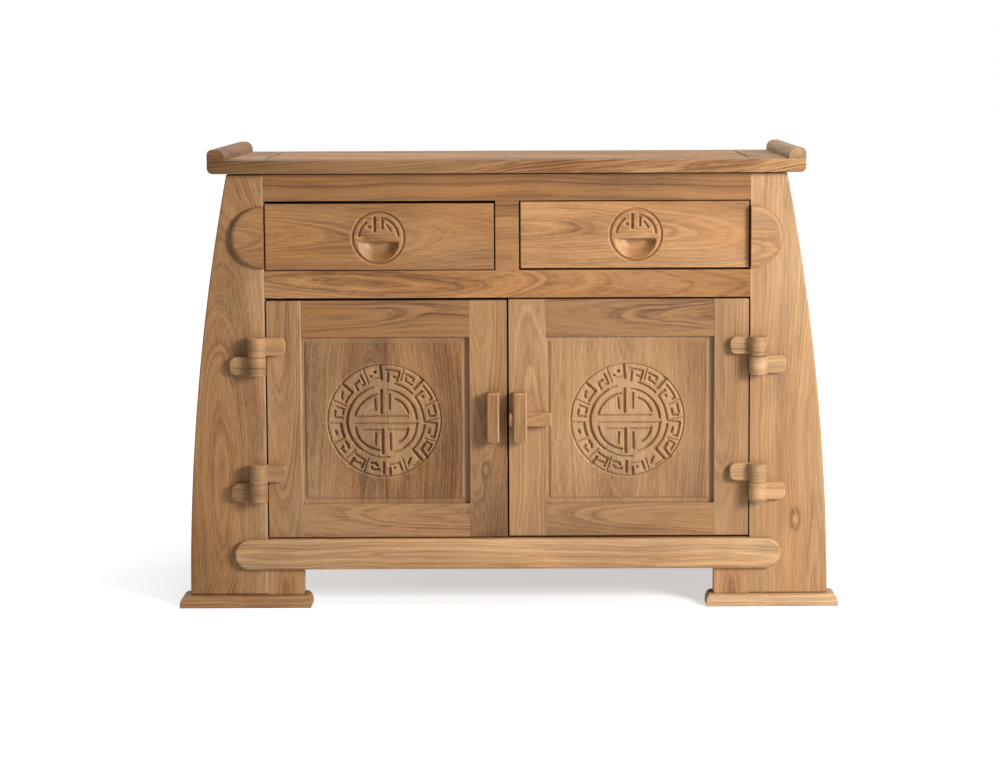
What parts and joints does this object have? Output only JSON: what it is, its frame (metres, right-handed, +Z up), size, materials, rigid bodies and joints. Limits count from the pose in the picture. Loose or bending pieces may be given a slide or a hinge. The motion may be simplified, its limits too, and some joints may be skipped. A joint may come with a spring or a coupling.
{
  "type": "sideboard",
  "caption": "Teak sideboard with flared stiles, drawers with scooped pulls over panelled doors on wooden knuckle hinges, and a sliding wooden latch.",
  "frame": {"origin": "on the floor, under the middle of the bounding box", "axes": "+X to the right along the width, +Y to the back, +Z up; the doors and drawers face -Y"},
  "size_m": [1.3, 0.4618, 0.9053],
  "materials": {
    "teak_top": "sanded and oiled teak, satin",
    "teak_frame": "sanded and oiled teak, satin",
    "teak_drawers": "sanded and oiled teak, satin, carved",
    "teak_doors": "sanded and oiled teak, satin, carved",
    "teak_fittings": "shaped teak, satin",
    "teak_boards": "planed teak, matt"
  },
  "bodies": {
    "carcass": {"top_panel": "teak_top", "top_end_left": "teak_top", "top_end_right": "teak_top", "top_scroll_left": "teak_top", "top_scroll_right": "teak_top", "front_stile_left": "teak_frame", "front_stile_right": "teak_frame", "leg_block_left": "teak_frame", "leg_block_right": "teak_frame", "front_top_rail": "teak_frame", "front_middle_rail": "teak_frame", "front_bottom_rail": "teak_frame", "drawer_divider": "teak_frame", "boss_left": "teak_frame", "boss_right": "teak_frame", "back_stile_left": "teak_frame", "back_stile_right": "teak_frame", "back_top_rail": "teak_frame", "back_bottom_rail": "teak_frame", "back_panel": "teak_boards", "side_panel_left": "teak_boards", "side_panel_right": "teak_boards", "foot_front_left": "teak_frame", "foot_front_right": "teak_frame", "foot_back_left": "teak_frame", "foot_back_right": "teak_frame", "bottom_board": "teak_boards", "shelf": "teak_boards", "dust_board": "teak_boards", "left_lower_hinge_frame_leaf": "teak_fittings", "left_lower_hinge_pin": "teak_fittings", "left_upper_hinge_frame_leaf": "teak_fittings", "left_upper_hinge_pin": "teak_fittings", "right_lower_hinge_frame_leaf": "teak_fittings", "right_lower_hinge_pin": "teak_fittings", "right_upper_hinge_frame_leaf": "teak_fittings", "right_upper_hinge_pin": "teak_fittings"},
    "left_door": {"left_door_hinge_stile": "teak_doors", "left_door_lock_stile": "teak_doors", "left_door_top_rail": "teak_doors", "left_door_bottom_rail": "teak_doors", "left_door_panel": "teak_doors", "left_lower_hinge_door_leaf": "teak_fittings", "left_upper_hinge_door_leaf": "teak_fittings", "latch_keeper_left": "teak_fittings"},
    "right_door": {"right_door_hinge_stile": "teak_doors", "right_door_lock_stile": "teak_doors", "right_door_top_rail": "teak_doors", "right_door_bottom_rail": "teak_doors", "right_door_panel": "teak_doors", "right_lower_hinge_door_leaf": "teak_fittings", "right_upper_hinge_door_leaf": "teak_fittings", "latch_keeper_right": "teak_fittings"},
    "bolt": {"latch_bolt": "teak_fittings"},
    "left_drawer": {"left_drawer_front": "teak_drawers", "left_drawer_box": "teak_boards", "left_drawer_bottom": "teak_boards"},
    "right_drawer": {"right_drawer_front": "teak_drawers", "right_drawer_box": "teak_boards", "right_drawer_bottom": "teak_boards"}
  },
  "joints": [
    {"name": "left_door_hinge", "type": "hinge", "parent": "carcass", "child": "left_door", "pos_m": [-0.4895, -0.2129, 0.375], "axis": [0, 0, -1], "range_deg": [0, 170]},
    {"name": "right_door_hinge", "type": "hinge", "parent": "carcass", "child": "right_door", "pos_m": [0.4895, -0.2129, 0.375], "axis": [0, 0, 1], "range_deg": [0, 170]},
    {"name": "latch_slide", "type": "slide", "parent": "right_door", "child": "bolt", "axis": [-1, 0, 0], "range_m": [0, 0.036]},
    {"name": "left_drawer_slide", "type": "slide", "parent": "carcass", "child": "left_drawer", "axis": [0, -1, 0], "range_m": [0, 0.27]},
    {"name": "right_drawer_slide", "type": "slide", "parent": "carcass", "child": "right_drawer", "axis": [0, -1, 0], "range_m": [0, 0.27]}
  ]
}
